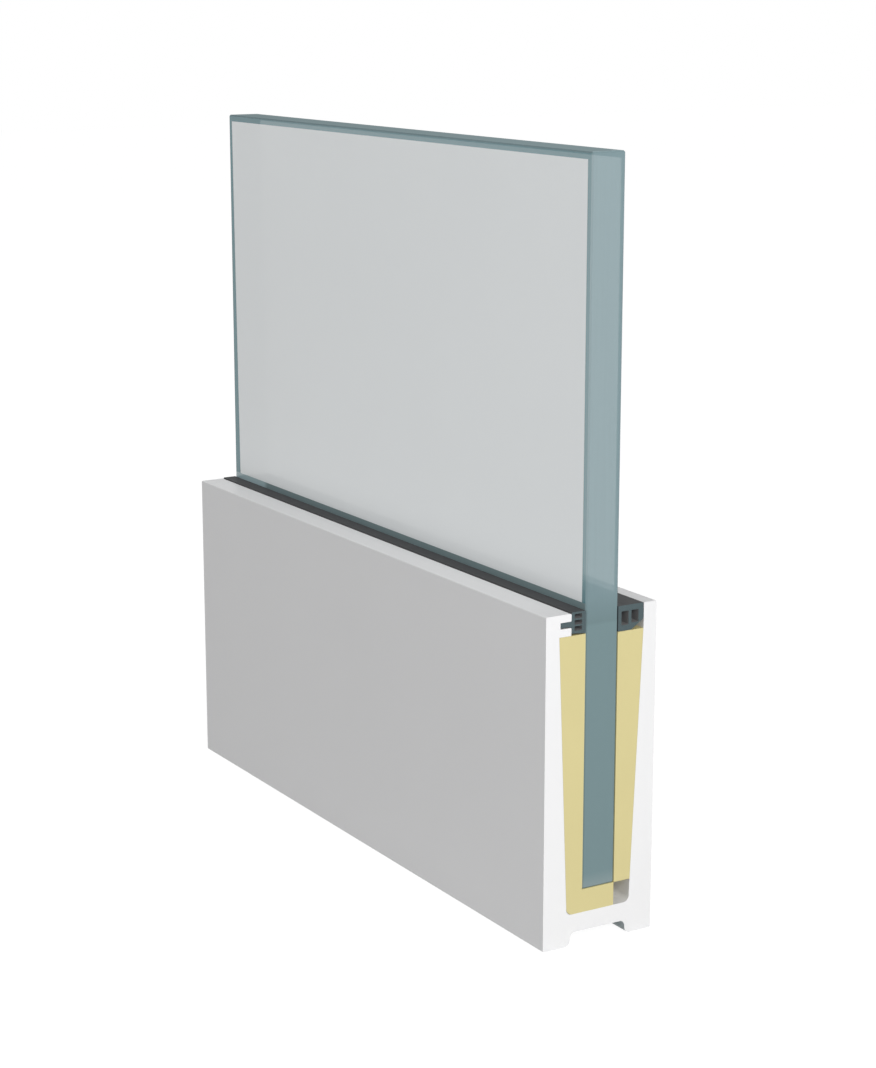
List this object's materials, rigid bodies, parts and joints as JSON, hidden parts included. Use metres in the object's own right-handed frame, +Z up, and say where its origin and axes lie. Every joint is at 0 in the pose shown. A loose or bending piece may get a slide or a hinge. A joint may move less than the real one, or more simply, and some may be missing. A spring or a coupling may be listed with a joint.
{
  "type": "glass railing base profile",
  "caption": "U-shaped base shoe for a frameless glass railing: a pane held between a support wedge and a locking wedge, with rubber gaskets closing the mouth.",
  "frame": {"origin": "middle of the shoe's footprint, on the surface that it stands on", "axes": "+X along the rail, +Y across it from the slotted front wall to the plain rear wall, +Z up along the glass"},
  "size_m": [0.24, 0.0412, 0.2476],
  "materials": {
    "coated_aluminium": "white matt powder coat on extruded aluminium",
    "toughened_glass": "clear toughened float glass with polished arrised edges",
    "wedge_plastic": "extruded yellow plastic with a fine satin grain",
    "gasket_rubber": "dark grey extruded rubber"
  },
  "bodies": {
    "root": {"base_profile": "coated_aluminium", "glass_panel": "toughened_glass", "support_wedge": "wedge_plastic", "locking_wedge": "wedge_plastic", "front_gasket": "gasket_rubber", "rear_gasket": "gasket_rubber"}
  },
  "joints": []
}
